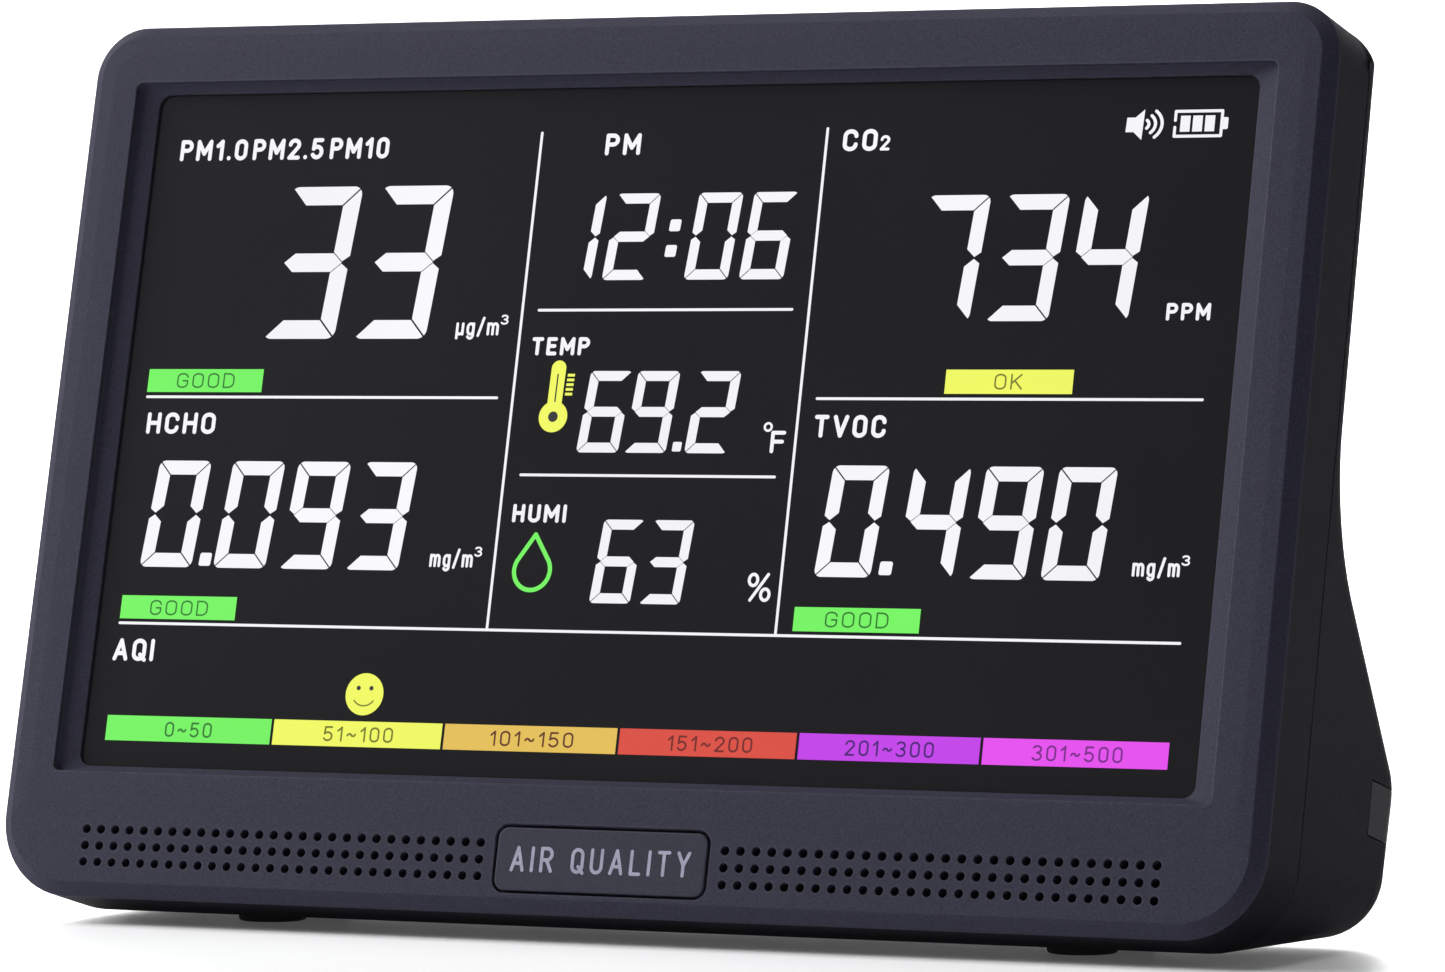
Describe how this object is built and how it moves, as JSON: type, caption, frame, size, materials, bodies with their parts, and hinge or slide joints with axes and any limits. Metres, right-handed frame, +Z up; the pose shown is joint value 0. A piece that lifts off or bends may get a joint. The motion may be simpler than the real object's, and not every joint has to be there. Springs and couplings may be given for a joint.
{
  "type": "air quality monitor",
  "caption": "Free-standing desktop air quality monitor: leaning segment display in a slim case that sweeps back into a wide foot, with perforated sensor inlet and rear keys.",
  "frame": {"origin": "centre of the object's box on the surface it stands on", "axes": "+X to the viewer's right along the display, +Y from the display to the back, +Z up"},
  "size_m": [0.2, 0.0554, 0.1325],
  "materials": {
    "front_shell": "fine sand texture, dark slate blue",
    "rear_shell": "fine spark-eroded texture, charcoal",
    "strip": "fine texture, charcoal",
    "nameplate": "satin, dark slate blue, with a pale printed line of lettering",
    "gauze": "woven black dust cloth",
    "display": "anti-glare polariser over dark segment display",
    "acrylic": "clear moulded acrylic with a frosted back",
    "white_plastic": "white reflective moulding",
    "flex": "amber polyimide film with copper tracks",
    "board": "green solder mask over fibreglass",
    "chip": "black moulded package",
    "steel": "tinned sheet steel",
    "key_red": "satin dark red",
    "key_grey": "satin mid grey",
    "lens": "clear light pipe",
    "sensor_blue": "blue moulded sensor body",
    "brass": "plated brass",
    "membrane": "white porous film",
    "cell_wrap": "shrink-wrapped sleeve",
    "wire_red": "stranded wire, soft insulation",
    "wire_blue": "stranded wire, soft insulation",
    "screw": "zinc-plated steel, cross recess",
    "rubber": "soft black rubber"
  },
  "bodies": {
    "root": {"front_case": "front_shell", "rear_case": "rear_shell", "rear_strip": "strip", "nameplate": "nameplate", "dust_gauze": "gauze", "lcd_glass": "display", "light_guide": "acrylic", "backlight_strip": "white_plastic", "lcd_tray": "white_plastic", "lcd_ribbon": "flex", "main_board": "board", "board_chips": "chip", "board_connectors": "white_plastic", "buzzer": "chip", "key_board": "board", "key_ribbon": "flex", "key_switches": "steel", "usb_socket": "steel", "charge_light": "lens", "pm_housing": "sensor_blue", "pm_lid": "steel", "pm_laser": "brass", "pm_board": "board", "pm_lead": "wire_red", "sensor_board": "board", "co2_sensor": "brass", "co2_membranes": "membrane", "hcho_cell": "white_plastic", "tvoc_sensor": "steel", "humidity_sensor": "white_plastic", "sensor_lead": "wire_blue", "battery_cell": "cell_wrap", "battery_holder": "chip", "battery_leads": "wire_red", "case_screws": "screw", "underside_screws": "screw", "board_screws": "screw", "rubber_feet": "rubber"},
    "power_key": {"power_key": "key_red"},
    "set_key": {"set_key": "key_grey"},
    "up_key": {"up_key": "key_grey"},
    "down_key": {"down_key": "key_grey"},
    "alarm_key": {"alarm_key": "key_grey"},
    "pm_fan": {"pm_fan": "chip"}
  },
  "joints": [
    {"name": "power_key_press", "type": "slide", "parent": "root", "child": "power_key", "axis": [0, -0.9724, 0.2334], "range_m": [0, 0.0004], "stiffness_N_per_m": 1500},
    {"name": "set_key_press", "type": "slide", "parent": "root", "child": "set_key", "axis": [0, -0.9724, 0.2334], "range_m": [0, 0.0004], "stiffness_N_per_m": 1500},
    {"name": "up_key_press", "type": "slide", "parent": "root", "child": "up_key", "axis": [0, -0.9724, 0.2334], "range_m": [0, 0.0004], "stiffness_N_per_m": 1500},
    {"name": "down_key_press", "type": "slide", "parent": "root", "child": "down_key", "axis": [0, -0.9724, 0.2334], "range_m": [0, 0.0004], "stiffness_N_per_m": 1500},
    {"name": "alarm_key_press", "type": "slide", "parent": "root", "child": "alarm_key", "axis": [0, -0.9724, 0.2334], "range_m": [0, 0.0004], "stiffness_N_per_m": 1500},
    {"name": "pm_fan_spin", "type": "hinge", "parent": "root", "child": "pm_fan", "pos_m": [-0.062, -0.0008, 0.01], "axis": [0, 0, 1], "continuous": true}
  ]
}
